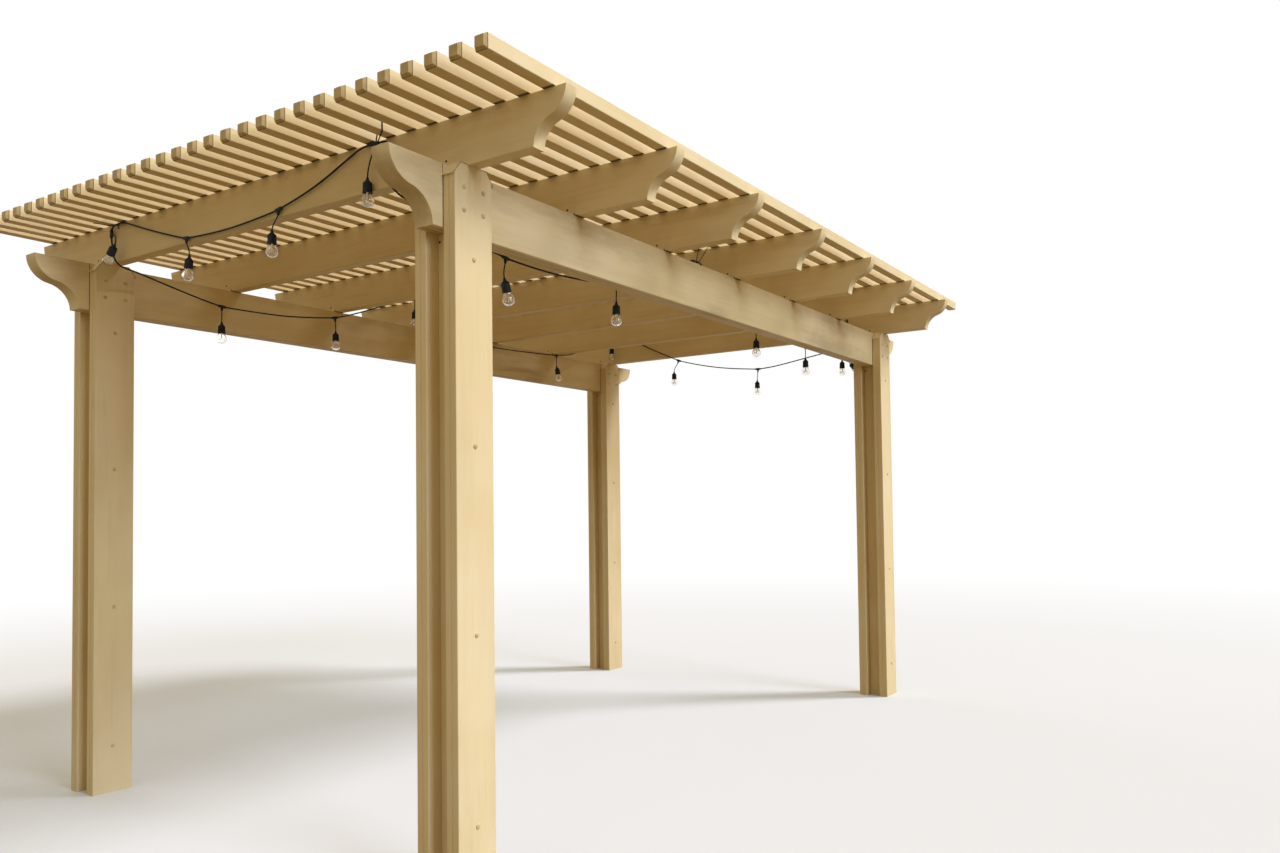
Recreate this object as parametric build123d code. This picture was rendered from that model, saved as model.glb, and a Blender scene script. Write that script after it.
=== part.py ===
from build123d import *
from math import cos, pi, radians, sin, tan
import os

# Pergola with an open slatted roof and two strings of lamps, in millimetres.
# Z is up and z = 0 is the ground.
# X runs along the beams and slats, from the near pair of posts to the far pair.
# Y runs along the rafters, from the right beam to the left beam.
# The origin lies on the ground under the middle of the roof.

# Post planks and cores
plank_width = 165.0
plank_thickness = 50.8
plank_edge_radius = 3.0
plank_clip_along = 25.0
plank_clip_down = 34.0
plank_groove_width = 5.0
plank_groove_depth = 1.5
core_width = 62.0
core_edge_ease = 3.0

# Beams
beam_thickness = 76.2
beam_depth = 203.2
beam_scroll_run = 174.0
beam_overhang = 300.0
beam_edge_ease = 2.5

# Rafters
rafter_count = 7
rafter_thickness = 50.8
rafter_depth = 165.0
rafter_scroll_run = 126.0
rafter_overhang = 483.0
rafter_edge_ease = 2.0

# Roof slats and the caps on their ends
slat_width = 46.0
slat_height = 46.0
slat_gap = 51.0
slat_edge_ease = 2.0
slat_near_overhang = 308.0
slat_far_overhang = 337.0
slat_inset_from_rafter_tip = 42.0
cap_depth = 12.0
cap_bevel = 6.6

# Layout: the distances between the centres of the posts, and the height that carries the rafters
post_spacing_along = 3658.0
post_spacing_across = 2108.0
beam_top_height = 2254.0

# Lamp strings: a cable, and lamps that hang from it on short leads
cable_diameter = 7.0
cable_sides = 5
lead_diameter = 5.0
lamp_sides = 8
socket_length = 50.0
socket_neck_diameter = 9.0
socket_shoulder_drop = 16.0
socket_shoulder_diameter = 31.0
socket_rim_diameter = 34.0
bulb_length = 48.0
bulb_neck_diameter = 28.0
bulb_diameter = 45.0
bulb_tip_diameter = 15.0

# Ties: a strap round a slat and the cable under it
tie_width = 4.0
tie_thickness = 1.5
tie_clearance = 0.3

# Places that follow from the sizes above
beam_bottom_height = beam_top_height - beam_depth
rafter_top_height = beam_top_height + rafter_depth
slat_top_height = rafter_top_height + slat_height
roof_length = slat_near_overhang + post_spacing_along + slat_far_overhang
slat_near_end = -roof_length / 2
slat_far_end = roof_length / 2
near_post_x = slat_near_end + slat_near_overhang
far_post_x = slat_far_end - slat_far_overhang
right_post_y = -post_spacing_across / 2
left_post_y = post_spacing_across / 2
plank_offset = beam_thickness / 2 + plank_thickness / 2
rafter_half_length = post_spacing_across / 2 + rafter_overhang
slat_pitch = slat_width + slat_gap
first_slat_y = -rafter_half_length + slat_inset_from_rafter_tip + slat_width / 2
last_slat_limit = rafter_half_length - slat_inset_from_rafter_tip - slat_width / 2
slat_count = int((last_slat_limit - first_slat_y) // slat_pitch) + 1

posts = {
    "near_right": (near_post_x, right_post_y, -1),
    "near_left": (near_post_x, left_post_y, 1),
    "far_right": (far_post_x, right_post_y, -1),
    "far_left": (far_post_x, left_post_y, 1),
}
beams = {"right_beam": right_post_y, "left_beam": left_post_y}

# Strings: each point is given by x, y and how far it lies below the underside of the slats.
# The left string starts under the slats in front of the first rafter, sags across to the left,
# drops under that rafter and runs along the inner side of the left beam. It is tied up to the
# slats in front of the first, fourth and last rafters, and passes under the rafters between.
left_string_route = [
    (-1880, -760, 12),
    (-1880, -708, 9),
    (-1880, -655, 13),
    (-1880, -610, 28),
    (-1880, -450, 88),
    (-1880, -330, 119),
    (-1880, -232, 138),
    (-1880, -188, 146),
    (-1880, 20, 160),
    (-1880, 180, 162),
    (-1880, 352, 154),
    (-1880, 396, 149),
    (-1880, 634, 77),
    (-1880, 790, 23),
    (-1880, 840, 8),
    (-1880, 916, 8),
    (-1882, 927, 32),
    (-1884, 923, 74),
    (-1885, 908, 119),
    (-1888, 896, 157),
    (-1864, 886, 189),
    (-1800, 896, 193),
    (-1720, 911, 206),
    (-1500, 915, 253),
    (-1397, 915, 271),
    (-1355, 915, 275),
    (-1120, 915, 269),
    (-990, 915, 261),
    (-755, 915, 229),
    (-713, 915, 219),
    (-590, 915, 178),
    (-440, 915, 118),
    (-262, 915, 45),
    (-200, 915, 21),
    (-150, 915, 11),
    (-90, 915, 11),
    (-63, 915, 39),
    (-60, 915, 99),
    (-61, 915, 157),
    (-34, 915, 189),
    (40, 915, 202),
    (385, 915, 223),
    (427, 915, 222),
    (700, 915, 214),
    (1076, 915, 194),
    (1116, 915, 189),
    (1205, 915, 177),
    (1255, 915, 165),
    (1440, 915, 103),
    (1600, 915, 52),
    (1700, 916, 22),
    (1745, 916, 18),
    (1775, 893, 14),
    (1775, 858, 14),
]

# The right string starts where the left one does, drops under the first rafter and runs along
# the inner side of the right beam, then sags across to the left in front of the last rafter.
right_string_route = [
    (-1880, -760, 12),
    (-1880, -786, 13.5),
    (-1881, -801, 36),
    (-1883, -803, 74),
    (-1885, -804, 119),
    (-1888, -807, 159),
    (-1864, -812, 191),
    (-1775, -836, 224),
    (-1660, -886, 282),
    (-1548, -922, 326),
    (-1482, -930, 338),
    (-1440, -931, 344),
    (-1225, -934, 349),
    (-1020, -936, 338),
    (-812, -938, 320),
    (-771, -938, 313),
    (-520, -938, 241),
    (-330, -938, 157),
    (-194, -938, 94),
    (-150, -938, 80),
    (-100, -938, 80),
    (-70, -938, 105),
    (-64, -938, 151),
    (-36, -938, 187),
    (40, -938, 205),
    (446, -937, 283),
    (487, -937, 290),
    (780, -935, 319),
    (1063, -934, 319),
    (1104, -934, 314),
    (1400, -936, 290),
    (1620, -938, 267),
    (1660, -938, 259),
    (1697, -938, 235),
    (1712, -938, 179),
    (1716, -938, 89),
    (1720, -937, 27),
    (1747, -921, 8),
    (1775, -905, 27),
    (1776, -903, 89),
    (1776, -902, 169),
    (1775, -896, 213),
    (1775, -866, 235),
    (1775, -800, 246),
    (1775, -600, 276),
    (1775, -400, 307),
    (1775, -290, 314),
    (1775, -248, 313),
    (1775, -20, 287),
    (1775, 172, 249),
    (1775, 338, 205),
    (1775, 380, 189),
    (1775, 585, 96),
    (1775, 690, 42),
    (1775, 745, 18),
    (1775, 805, 14),
    (1775, 858, 14),
]

# Each lamp: where its lead leaves the cable, the top of its socket, and the way that it points
left_string_lamps = [
    ((-1880, -722, 10), (-1890, -702, 127), (0, 0, -1)),
    ((-1880, -210, 142), (-1880, -172, 214), (0, 0, -1)),
    ((-1880, 374, 152), (-1880, 352, 227), (0, 0.15, -1)),
    ((-1882.6, 925.9, 44), (-1912, 844, 110), (0, 0.66, -0.75)),
    ((-1376, 915, 273), (-1378, 915, 350), (0, 0, -1)),
    ((-734, 915, 224), (-729, 915, 296), (0, 0, -1)),
    ((-180, 915, 17), (-180, 915, 91), (0, 0, -1)),
    ((406, 915, 223), (406, 915, 298), (0, 0, -1)),
    ((1096, 915, 192), (1097, 915, 270), (0.28, 0, -1)),
    ((1722, 916, 21), (1752, 926, 47), (0, 0, -1)),
]
right_string_lamps = [
    ((-1461, -930, 341), (-1470, -932, 418), (0.28, 0, -0.96)),
    ((-791, -938, 316), (-791, -938, 389), (0, 0, -1)),
    ((-172, -938, 87), (-172, -938, 161), (0, 0, -1)),
    ((467, -937, 287), (466, -937, 363), (0, 0, -1)),
    ((1083, -934, 317), (1083, -934, 391), (0, 0, -1)),
    ((1640, -938, 263), (1752, -939, 345), (0.97, 0, -0.24)),
    ((1775, -833, 241), (1775, -872, 313), (0, 0, -1)),
    ((1775, -269, 314), (1775, -262, 391), (0, 0, -1)),
    ((1775, 359, 197), (1775, 398, 276), (0, 0, -1)),
]

# Each tie: the point of the cable that it holds, the number of its slat, and its turn about Z
left_string_ties = [
    ((-1880, -736, 10.6), 7, 30),
    ((-1880, 893, 8), 25, 30),
    ((-106, 915, 11), 25, 0),
    ((1715, 916, 20.7), 25, 0),
]
right_string_ties = [
    ((-125, -938, 80), 5, 0),
    ((1747.2, -921, 12.6), 5, 0),
]


def save(shape, name):
    """Writes one sub-part to its own STEP file."""
    export_step(shape, "parts/" + name + ".step")


def eased_bar_section(width, thickness, ease):
    """A rectangular cross-section with its corners eased flat."""
    with BuildSketch() as section:
        Rectangle(width, thickness)
        chamfer(section.vertices(), ease)
    return section.sketch


def scrolled_member(half_length, depth, scroll_run, thickness, edge_ease):
    """A beam or rafter lying along X with an ogee at each end, its underside at z = 0.

    Each ogee is two equal arcs. The upper one bulges out from the upright tip,
    and the lower one hollows in until it stands upright on the underside.
    """
    tip = half_length
    middle = half_length - scroll_run / 2
    foot = half_length - scroll_run
    with BuildPart() as member:
        with BuildSketch(Plane.XZ):
            with BuildLine():
                bulge = TangentArc((tip, depth), (middle, depth / 2), tangent=(0, -1))
                hollow = TangentArc(bulge @ 1, (foot, 0), tangent=bulge % 1)
                underside = Line(hollow @ 1, (-foot, 0))
                far_hollow = TangentArc(underside @ 1, (-middle, depth / 2), tangent=(0, 1))
                far_bulge = TangentArc(far_hollow @ 1, (-tip, depth), tangent=far_hollow % 1)
                Line(far_bulge @ 1, bulge @ 0)
            make_face()
        extrude(amount=thickness / 2, both=True)
        long_edges = member.edges().filter_by(Axis.X)
        chamfer(long_edges, edge_ease)
    return member.part


def post_plank():
    """An upright side plank with grooved narrow edges and a clipped top, its broad faces along X."""
    half_width = plank_width / 2
    half_thickness = plank_thickness / 2
    with BuildPart() as plank:
        with BuildSketch():
            RectangleRounded(plank_width, plank_thickness, plank_edge_radius)
            groove_places = [(-half_width, 0), (half_width, 0)]
            with Locations(*groove_places):
                Rectangle(2 * plank_groove_depth, plank_groove_width, mode=Mode.SUBTRACT)
        extrude(amount=beam_top_height)
        with BuildSketch(Plane.XZ):
            with BuildLine():
                Polyline(
                    (half_width, beam_top_height - plank_clip_down),
                    (half_width, beam_top_height),
                    (half_width - plank_clip_along, beam_top_height),
                    close=True,
                )
            make_face()
            mirror(about=Plane.YZ)
        extrude(amount=half_thickness, both=True, mode=Mode.SUBTRACT)
    return plank.part


def post_core():
    """The narrow middle of a post, which stops under the beam."""
    section = eased_bar_section(core_width, beam_thickness, core_edge_ease)
    return extrude(section, amount=beam_bottom_height)


def slat():
    """One roof slat along X, with its near end at x = 0 and its underside at z = 0."""
    section = eased_bar_section(slat_width, slat_height, slat_edge_ease)
    place = Plane(origin=(0, 0, slat_height / 2), x_dir=(0, 1, 0), z_dir=(1, 0, 0))
    return extrude(place * section, amount=roof_length)


def slat_cap():
    """A bevelled end cap on the yz plane, pointing along +X, its underside at z = 0."""
    broad = eased_bar_section(slat_width, slat_height, slat_edge_ease)
    narrow = eased_bar_section(slat_width - 2 * cap_bevel, slat_height - 2 * cap_bevel, slat_edge_ease)
    seat = Plane(origin=(0, 0, slat_height / 2), x_dir=(0, 1, 0), z_dir=(1, 0, 0))
    front = seat.offset(cap_depth)
    return loft([(seat * broad).face(), (front * narrow).face()])


def slat_place(index):
    """The middle of a slat across the roof, counted from the right."""
    return first_slat_y + index * slat_pitch


def polygon_radius(diameter, sides):
    """The corner radius of a polygon with as much area as a circle."""
    return diameter / 2 * (pi / (sides / 2 * sin(2 * pi / sides))) ** 0.5


def bend_radii(corners):
    """The radius at each corner of a route, as large as its two runs allow."""
    radii = []
    for before, corner, after in zip(corners, corners[1:], corners[2:]):
        run_in = corner - before
        run_out = after - corner
        turn = radians(run_in.get_angle(run_out))
        radii.append(0.45 * min(run_in.length, run_out.length) / tan(turn / 2))
    return radii


def below_slats(place):
    """A point in space from x, y and its drop below the underside of the slats."""
    x, y, drop = place
    return Vector(x, y, rafter_top_height - drop)


def cable(route, name):
    """A cable along straight runs joined by tangent arcs."""
    corners = [below_slats(place) for place in route]
    radii = bend_radii(corners)
    path = FilletPolyline(*corners, radius=radii)
    section = RegularPolygon(polygon_radius(cable_diameter, cable_sides), cable_sides)
    start = Plane(origin=path @ 0, z_dir=path % 0)
    tube = sweep((start * section).face(), path=path)
    wanted = pi / 4 * cable_diameter**2 * path.length
    print(name, "length", round(path.length), "smallest bend radius", round(min(radii), 1))
    print(name, "volume over section times length", round(tube.volume / wanted, 4))
    return tube


def turned_piece(top, aim, rings):
    """A piece that is round about the aim: polygons of the given diameters at the given depths."""
    sections = []
    for depth, diameter in rings:
        place = Plane(origin=top + aim * depth, x_dir=aim.cross(Vector(0.3, 1, 0)), z_dir=aim)
        sections.append((place * RegularPolygon(polygon_radius(diameter, lamp_sides), lamp_sides)).face())
    return loft(sections, ruled=True)


def lamp_socket(tube, joint, top, aim):
    """A lead that ends on the skin of the cable, and the socket that is moulded on it."""
    way = (top - joint).normalized()
    run = (top - joint).length + lead_diameter / 2
    section = RegularPolygon(polygon_radius(lead_diameter, cable_sides), cable_sides)
    lead = extrude(Plane(origin=joint, z_dir=way) * section, amount=run) - tube
    rings = [
        (0, socket_neck_diameter),
        (socket_shoulder_drop, socket_shoulder_diameter),
        (socket_length, socket_rim_diameter),
    ]
    return lead + turned_piece(top, aim, rings)


def lamp_bulb(top, aim):
    """A clear pear-shaped bulb, from the rim of its socket down."""
    rings = [
        (socket_length, bulb_neck_diameter),
        (socket_length + 0.35 * bulb_length, 0.95 * bulb_diameter),
        (socket_length + 0.58 * bulb_length, bulb_diameter),
        (socket_length + 0.84 * bulb_length, 0.78 * bulb_diameter),
        (socket_length + bulb_length, bulb_tip_diameter),
    ]
    return turned_piece(top, aim, rings)


def tie(held, slat_index, turn):
    """A closed strap round one slat that carries the cable beside and below it.

    The strap is drawn with u level from the cable towards the slat, and v upright.
    """
    middle = below_slats(held)
    across = slat_place(slat_index) - middle.Y
    side = 1 if across > 0 else -1
    lean = radians(turn)
    reach = polygon_radius(cable_diameter, cable_sides)
    half = (reach + tie_width / 2 * cos(lean)) / sin(lean) if turn else 1.5 * reach
    slat_gap_here = tie_clearance + tie_width / 2 * tan(lean)
    slat_near = (abs(across) - slat_width / 2) / cos(lean) - slat_gap_here
    slat_far = (abs(across) + slat_width / 2) / cos(lean) + slat_gap_here
    slat_over = slat_top_height - middle.Z + tie_clearance
    slat_under = rafter_top_height - middle.Z - tie_clearance
    inside = [
        (slat_far, slat_over),
        (slat_near, slat_over),
        (-half - tie_clearance, reach),
        (-half - tie_clearance, -reach - tie_clearance),
        (half, -reach - tie_clearance),
        (slat_far, slat_under),
    ]
    opening = make_face(Polyline(*inside, close=True))
    strap = offset(opening, amount=tie_thickness, kind=Kind.INTERSECTION) - opening
    along = Vector(-sin(lean), side * cos(lean), 0)
    place = Plane(origin=middle, x_dir=along, z_dir=along.cross(Vector(0, 0, 1)))
    return extrude(place * strap, amount=tie_width / 2, both=True)


os.makedirs("parts", exist_ok=True)

# Posts: two planks either side of a core, with the beam let in between the plank tops
plank = post_plank()
core = post_core()
for name, (x, y, outward) in posts.items():
    save(Pos(x, y + outward * plank_offset, 0) * plank, name + "_post_outer_plank")
    save(Pos(x, y - outward * plank_offset, 0) * plank, name + "_post_inner_plank")
    save(Pos(x, y, 0) * core, name + "_post_core")

# Beams: one along each side, standing on the cores
beam_middle_x = (near_post_x + far_post_x) / 2
beam_half_length = post_spacing_along / 2 + beam_overhang
beam = scrolled_member(beam_half_length, beam_depth, beam_scroll_run, beam_thickness, beam_edge_ease)
for name, y in beams.items():
    save(Pos(beam_middle_x, y, beam_bottom_height) * beam, name)

# Rafters: evenly spaced from the near posts to the far posts, on top of the beams
rafter = scrolled_member(rafter_half_length, rafter_depth, rafter_scroll_run, rafter_thickness, rafter_edge_ease)
rafter_spacing = post_spacing_along / (rafter_count - 1)
for index in range(rafter_count):
    x = near_post_x + index * rafter_spacing
    save(Pos(x, 0, beam_top_height) * Rot(0, 0, 90) * rafter, "rafter_" + str(index + 1))

# Slats and their end caps, on top of the rafters
one_slat = slat()
one_cap = slat_cap()
slat_lines = [Pos(slat_near_end, slat_place(index), rafter_top_height) for index in range(slat_count)]
slats = [line * one_slat for line in slat_lines]
far_caps = [line * Pos(roof_length, 0, 0) * one_cap for line in slat_lines]
near_caps = [line * Rot(0, 0, 180) * one_cap for line in slat_lines]
save(Compound(children=slats), "roof_slats")
save(Compound(children=far_caps), "far_slat_caps")
save(Compound(children=near_caps), "near_slat_caps")

# Lamp strings
strings = {
    "left_string": (left_string_route, left_string_lamps, left_string_ties),
    "right_string": (right_string_route, right_string_lamps, right_string_ties),
}
for name, (route, lamps, ties) in strings.items():
    tube = cable(route, name)
    sockets = []
    bulbs = []
    for joint, top, aim in lamps:
        aimed = Vector(aim).normalized()
        sockets.append(lamp_socket(tube, below_slats(joint), below_slats(top), aimed))
        bulbs.append(lamp_bulb(below_slats(top), aimed))
    save(tube, name + "_cable")
    save(Compound(children=sockets), name + "_sockets")
    save(Compound(children=bulbs), name + "_bulbs")
    save(Compound(children=[tie(*one) for one in ties]), name + "_ties")
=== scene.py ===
import bpy
import bmesh
from math import cos, pi, radians, sin
from mathutils import Matrix, Vector


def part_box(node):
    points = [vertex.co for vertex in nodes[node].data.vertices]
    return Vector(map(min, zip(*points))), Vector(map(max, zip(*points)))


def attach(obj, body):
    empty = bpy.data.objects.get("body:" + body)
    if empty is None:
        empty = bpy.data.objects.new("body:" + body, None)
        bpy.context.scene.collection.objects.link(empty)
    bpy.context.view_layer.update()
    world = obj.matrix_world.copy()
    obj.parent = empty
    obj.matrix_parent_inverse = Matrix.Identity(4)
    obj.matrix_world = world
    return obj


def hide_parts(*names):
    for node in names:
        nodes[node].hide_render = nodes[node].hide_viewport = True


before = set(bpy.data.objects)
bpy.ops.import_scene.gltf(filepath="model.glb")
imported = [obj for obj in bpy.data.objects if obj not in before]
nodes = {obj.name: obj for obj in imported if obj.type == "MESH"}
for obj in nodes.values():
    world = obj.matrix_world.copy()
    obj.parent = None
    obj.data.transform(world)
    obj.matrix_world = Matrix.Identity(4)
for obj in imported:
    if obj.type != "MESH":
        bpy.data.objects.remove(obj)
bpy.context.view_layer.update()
scene = bpy.context.scene


# Camera, solved from the photograph
PHOTO_WIDTH = 1280
PHOTO_HEIGHT = 853
FOCAL_PIXELS = 981.68
CENTRE_COLUMN = 663.44
CENTRE_ROW = 477.05
CAMERA_PLACE = Vector((-4.0979, -3.3014, 1.1628))
CAMERA_HEADING = radians(32.917)
CAMERA_PITCH = radians(1.948)
CAMERA_ROLL = radians(-0.7585)
SENSOR_WIDTH = 36


def add_camera():
    """The camera that took the photograph, from its solved place, heading, pitch and roll."""
    h, p, r = CAMERA_HEADING, CAMERA_PITCH, CAMERA_ROLL
    forward = Vector((cos(h) * cos(p), sin(h) * cos(p), sin(p)))
    level_right = Vector((sin(h), -cos(h), 0))
    level_up = level_right.cross(forward)
    right = level_right * cos(r) + level_up * sin(r)
    up = level_up * cos(r) - level_right * sin(r)
    data = bpy.data.cameras.new("photo_camera")
    data.sensor_fit = "HORIZONTAL"
    data.sensor_width = SENSOR_WIDTH
    data.lens = SENSOR_WIDTH * FOCAL_PIXELS / PHOTO_WIDTH
    data.shift_x = (PHOTO_WIDTH / 2 - CENTRE_COLUMN) / PHOTO_WIDTH
    data.shift_y = (CENTRE_ROW - PHOTO_HEIGHT / 2) / PHOTO_WIDTH
    camera = bpy.data.objects.new("photo_camera", data)
    turn = Matrix((right, up, -forward)).transposed().to_4x4()
    camera.matrix_world = Matrix.Translation(CAMERA_PLACE) @ turn
    scene.collection.objects.link(camera)
    scene.camera = camera


add_camera()


# Routes of the two lamp strings: x, y and the drop below the underside of the slats. The left string
# passes under the first rafter and goes along the left beam. The right string goes along the right
# beam and passes under the last rafter.
SLAT_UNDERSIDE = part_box("rafter_1")[1].z
CABLE_DIAMETER = 0.007
CABLE_BEVEL_STEPS = 3
CABLE_STEPS_PER_POINT = 6
LEFT_ROUTE = [
    (-1.880, -0.760, 0.012),
    (-1.880, -0.708, 0.009),
    (-1.880, -0.655, 0.013),
    (-1.880, -0.610, 0.028),
    (-1.880, -0.450, 0.088),
    (-1.880, -0.330, 0.119),
    (-1.880, -0.232, 0.138),
    (-1.880, -0.188, 0.146),
    (-1.880, 0.020, 0.160),
    (-1.880, 0.180, 0.162),
    (-1.880, 0.352, 0.154),
    (-1.880, 0.396, 0.149),
    (-1.880, 0.634, 0.077),
    (-1.880, 0.790, 0.023),
    (-1.880, 0.840, 0.008),
    (-1.880, 0.916, 0.008),
    (-1.882, 0.927, 0.032),
    (-1.884, 0.923, 0.074),
    (-1.885, 0.908, 0.119),
    (-1.888, 0.896, 0.157),
    (-1.864, 0.886, 0.189),
    (-1.800, 0.896, 0.193),
    (-1.720, 0.911, 0.206),
    (-1.500, 0.915, 0.253),
    (-1.397, 0.915, 0.271),
    (-1.355, 0.915, 0.275),
    (-1.120, 0.915, 0.269),
    (-0.990, 0.915, 0.261),
    (-0.755, 0.915, 0.229),
    (-0.713, 0.915, 0.219),
    (-0.590, 0.915, 0.178),
    (-0.440, 0.915, 0.118),
    (-0.262, 0.915, 0.045),
    (-0.200, 0.915, 0.021),
    (-0.150, 0.915, 0.011),
    (-0.090, 0.915, 0.011),
    (-0.063, 0.915, 0.039),
    (-0.060, 0.915, 0.099),
    (-0.061, 0.915, 0.157),
    (-0.034, 0.915, 0.189),
    (0.040, 0.915, 0.202),
    (0.385, 0.915, 0.223),
    (0.427, 0.915, 0.222),
    (0.700, 0.915, 0.214),
    (1.076, 0.915, 0.194),
    (1.116, 0.915, 0.189),
    (1.205, 0.915, 0.177),
    (1.255, 0.915, 0.165),
    (1.440, 0.915, 0.103),
    (1.600, 0.915, 0.052),
    (1.700, 0.916, 0.022),
    (1.745, 0.916, 0.018),
    (1.775, 0.893, 0.014),
    (1.775, 0.858, 0.014),
]
RIGHT_ROUTE = [
    (-1.880, -0.760, 0.012),
    (-1.880, -0.786, 0.0135),
    (-1.881, -0.801, 0.036),
    (-1.883, -0.803, 0.074),
    (-1.885, -0.804, 0.119),
    (-1.888, -0.807, 0.159),
    (-1.864, -0.812, 0.191),
    (-1.775, -0.836, 0.224),
    (-1.660, -0.886, 0.282),
    (-1.548, -0.922, 0.326),
    (-1.482, -0.930, 0.338),
    (-1.440, -0.931, 0.344),
    (-1.225, -0.934, 0.349),
    (-1.020, -0.936, 0.338),
    (-0.812, -0.938, 0.320),
    (-0.771, -0.938, 0.313),
    (-0.520, -0.938, 0.241),
    (-0.330, -0.938, 0.157),
    (-0.194, -0.938, 0.094),
    (-0.150, -0.938, 0.080),
    (-0.100, -0.938, 0.080),
    (-0.070, -0.938, 0.105),
    (-0.064, -0.938, 0.151),
    (-0.036, -0.938, 0.187),
    (0.040, -0.938, 0.205),
    (0.446, -0.937, 0.283),
    (0.487, -0.937, 0.290),
    (0.780, -0.935, 0.319),
    (1.063, -0.934, 0.319),
    (1.104, -0.934, 0.314),
    (1.400, -0.936, 0.290),
    (1.620, -0.938, 0.267),
    (1.660, -0.938, 0.259),
    (1.697, -0.938, 0.235),
    (1.712, -0.938, 0.179),
    (1.716, -0.938, 0.089),
    (1.720, -0.937, 0.027),
    (1.747, -0.921, 0.008),
    (1.775, -0.905, 0.027),
    (1.776, -0.903, 0.089),
    (1.776, -0.902, 0.169),
    (1.775, -0.896, 0.213),
    (1.775, -0.866, 0.235),
    (1.775, -0.800, 0.246),
    (1.775, -0.600, 0.276),
    (1.775, -0.400, 0.307),
    (1.775, -0.290, 0.314),
    (1.775, -0.248, 0.313),
    (1.775, -0.020, 0.287),
    (1.775, 0.172, 0.249),
    (1.775, 0.338, 0.205),
    (1.775, 0.380, 0.189),
    (1.775, 0.585, 0.096),
    (1.775, 0.690, 0.042),
    (1.775, 0.745, 0.018),
    (1.775, 0.805, 0.014),
    (1.775, 0.858, 0.014),
]


def below_slats(place):
    """A point in space from x, y and its drop below the underside of the slats."""
    x, y, drop = place
    return Vector((x, y, SLAT_UNDERSIDE - drop))


def smooth_cable(name, route, material):
    """A round cable along a smooth spline whose control points are the route's points."""
    data = bpy.data.curves.new(name, "CURVE")
    data.dimensions = "3D"
    data.bevel_depth = CABLE_DIAMETER / 2
    data.bevel_resolution = CABLE_BEVEL_STEPS
    data.resolution_u = CABLE_STEPS_PER_POINT
    spline = data.splines.new("NURBS")
    spline.points.add(len(route) - 1)
    for point, place in zip(spline.points, route):
        point.co = (*below_slats(place), 1)
    spline.order_u = 3
    spline.use_endpoint_u = True
    piece = bpy.data.objects.new(name, data)
    data.materials.append(material)
    scene.collection.objects.link(piece)
    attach(piece, "root")
    return piece


# Node helpers for the procedural materials
AXES = "xyz"
MIX_FIRST_COLOUR = 6
MIX_SECOND_COLOUR = 7
MIX_COLOUR_OUT = 2


def new_material(name):
    """A node material with an empty tree, and that tree."""
    material = bpy.data.materials.new(name)
    material.use_nodes = True
    tree = material.node_tree
    tree.nodes.clear()
    return material, tree


def fill_socket(tree, socket, value):
    """Links a socket to another one, or sets it to a plain value."""
    if isinstance(value, bpy.types.NodeSocket):
        tree.links.new(value, socket)
    else:
        socket.default_value = value


def add_node(tree, kind, settings=None, inputs=None):
    """Adds a node, sets its properties, and fills its inputs by name or number."""
    node = tree.nodes.new(kind)
    for key, value in (settings or {}).items():
        setattr(node, key, value)
    for key, value in (inputs or {}).items():
        fill_socket(tree, node.inputs[key], value)
    return node


def math_node(tree, operation, first, second=0.0):
    """The result of one arithmetic step."""
    return add_node(tree, "ShaderNodeMath", {"operation": operation}, {0: first, 1: second}).outputs[0]


def axes_of(tree, vector):
    """The three components of a vector."""
    return add_node(tree, "ShaderNodeSeparateXYZ", None, {0: vector}).outputs


def ramp(tree, value, low, high, out_low=0.0, out_high=1.0):
    """Maps low..high to out_low..out_high, clamped, with soft ends."""
    settings = {"interpolation_type": "SMOOTHSTEP"}
    inputs = {"Value": value, "From Min": low, "From Max": high, "To Min": out_low, "To Max": out_high}
    return add_node(tree, "ShaderNodeMapRange", settings, inputs).outputs[0]


def noise(tree, vector, scale, detail=3.0, roughness=0.55):
    """Noise values at a vector."""
    inputs = {"Vector": vector, "Scale": scale, "Detail": detail, "Roughness": roughness}
    return add_node(tree, "ShaderNodeTexNoise", None, inputs).outputs["Fac"]


def stretched_noise(tree, place, scales, detail, roughness):
    """Noise with a scale of its own along each axis."""
    settings = {"operation": "MULTIPLY"}
    vector = add_node(tree, "ShaderNodeVectorMath", settings, {0: place, 1: scales}).outputs[0]
    return noise(tree, vector, 1.0, detail, roughness)


def grained_noise(tree, place, along, scale_across, scale_along, detail, roughness):
    """Noise drawn out along one axis."""
    scales = [scale_across] * len(AXES)
    scales[AXES.index(along)] = scale_along
    return stretched_noise(tree, place, scales, detail, roughness)


def near_places(tree, value, places, half_width, solid_share):
    """1 over the solid share of half a width round each place, falling to 0 at its end."""
    mask = None
    for place in places:
        offset = math_node(tree, "ABSOLUTE", math_node(tree, "SUBTRACT", value, place))
        close = ramp(tree, offset, half_width, solid_share * half_width)
        mask = close if mask is None else math_node(tree, "MAXIMUM", mask, close)
    return mask


def blend_colour(tree, factor, first, second):
    """Mixes two colours, each an RGB triple or a socket."""
    node = add_node(tree, "ShaderNodeMix", {"data_type": "RGBA"}, {"Factor": factor})
    for number, colour in ((MIX_FIRST_COLOUR, first), (MIX_SECOND_COLOUR, second)):
        value = colour if isinstance(colour, bpy.types.NodeSocket) else (*colour, 1)
        fill_socket(tree, node.inputs[number], value)
    return node.outputs[MIX_COLOUR_OUT]


def bumps(tree, height, strength, depth):
    """Surface normals bent by a pattern of heights."""
    inputs = {"Strength": strength, "Distance": depth, "Height": height}
    return add_node(tree, "ShaderNodeBump", None, inputs).outputs[0]


def set_surface(tree, inputs):
    """Ends a material's tree in a Principled shader with these inputs."""
    surface = add_node(tree, "ShaderNodeBsdfPrincipled", None, inputs)
    add_node(tree, "ShaderNodeOutputMaterial", None, {0: surface.outputs[0]})


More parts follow.
